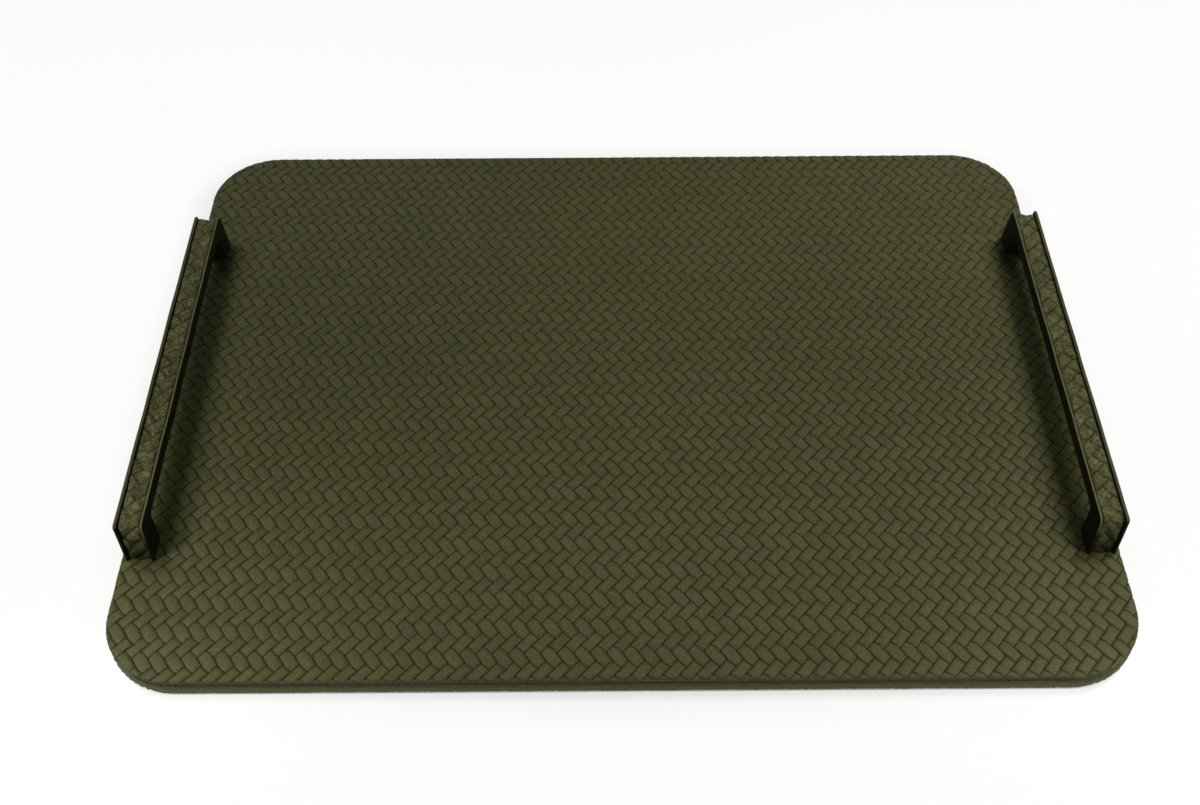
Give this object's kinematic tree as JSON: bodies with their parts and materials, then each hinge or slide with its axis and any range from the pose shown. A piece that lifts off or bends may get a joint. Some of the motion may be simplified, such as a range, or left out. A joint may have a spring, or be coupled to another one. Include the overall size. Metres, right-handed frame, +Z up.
{
  "type": "serving tray",
  "caption": "Flat rectangular tray with round corners, covered in herringbone woven leather, with a low arched handle along each short side.",
  "frame": {"origin": "centre of the bounding box on the surface the tray stands on, under the middle of the tray", "axes": "+X along the tray's long side from the left handle to the right one, +Y across it from front to back, +Z up out of the serving surface"},
  "size_m": [0.55, 0.4, 0.0411],
  "materials": {
    "board_wood": "raw fibreboard, hidden",
    "woven_olive_leather": "herringbone woven olive leather, semi-matte",
    "grey_card": "plain pressed card, hidden",
    "brown_suede": "brushed suede",
    "handle_wood": "raw hardwood, hidden",
    "smooth_dark_leather": "smooth near-black leather with painted edges",
    "woven_strip_leather": "soft woven olive leather strip",
    "dark_grip_leather": "plain dark leather",
    "insert_brass": "machined brass",
    "screw_steel": "plated steel"
  },
  "bodies": {
    "root": {"base_board": "board_wood", "woven_cover": "woven_olive_leather", "infill_card": "grey_card", "underside_lining": "brown_suede", "left_handle_core": "handle_wood", "left_outer_side_panel": "smooth_dark_leather", "left_inner_side_panel": "smooth_dark_leather", "left_woven_strip": "woven_strip_leather", "left_grip_lining": "dark_grip_leather", "left_front_insert": "insert_brass", "left_front_screw": "screw_steel", "left_back_insert": "insert_brass", "left_back_screw": "screw_steel", "right_handle_core": "handle_wood", "right_outer_side_panel": "smooth_dark_leather", "right_inner_side_panel": "smooth_dark_leather", "right_woven_strip": "woven_strip_leather", "right_grip_lining": "dark_grip_leather", "right_front_insert": "insert_brass", "right_front_screw": "screw_steel", "right_back_insert": "insert_brass", "right_back_screw": "screw_steel"}
  },
  "joints": []
}
